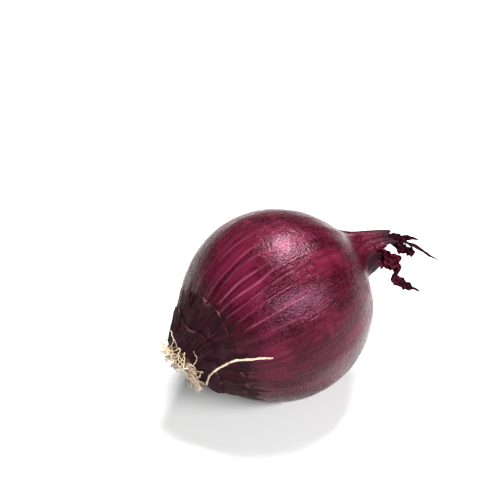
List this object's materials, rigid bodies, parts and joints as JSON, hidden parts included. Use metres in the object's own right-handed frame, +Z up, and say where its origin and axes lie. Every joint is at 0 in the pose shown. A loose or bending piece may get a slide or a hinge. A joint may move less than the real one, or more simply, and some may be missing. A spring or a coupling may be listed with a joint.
{
  "type": "red onion",
  "caption": "Whole red onion lying on its side, with papery skin, torn dry skin and dried roots at one end and a shrivelled neck at the other.",
  "frame": {"origin": "centre of the small flat spot under the bulb that it rests on", "axes": "+Z up; the onion's own axis lies in the XZ plane, from the roots at -X to the neck at +X, and rises 15 degrees towards the neck"},
  "size_m": [0.1147, 0.074, 0.0749],
  "materials": {
    "skin": "satin papery onion skin, magenta with lighter veins",
    "old_skin": "matt, dry, cracked outer skin, dark purple brown",
    "dry_leaf": "shrivelled dry leaf, dark magenta brown",
    "root_cork": "matt tan cork, pitted",
    "root_fibre": "dry straw-coloured root fibre"
  },
  "bodies": {
    "root": {"bulb": "skin", "outer_skin": "old_skin", "root_skirt": "old_skin", "root_plate": "root_cork", "long_root": "root_fibre", "root_1": "root_fibre", "root_2": "root_fibre", "root_3": "root_fibre", "root_4": "root_fibre", "root_5": "root_fibre", "root_6": "root_fibre", "root_7": "root_fibre", "root_8": "root_fibre", "root_9": "root_fibre", "root_10": "root_fibre", "root_11": "root_fibre", "neck_leaf_upper": "dry_leaf", "neck_leaf_spike": "dry_leaf", "neck_leaf_lower": "dry_leaf", "neck_leaf_back": "dry_leaf", "neck_leaf_stub": "dry_leaf"}
  },
  "joints": []
}
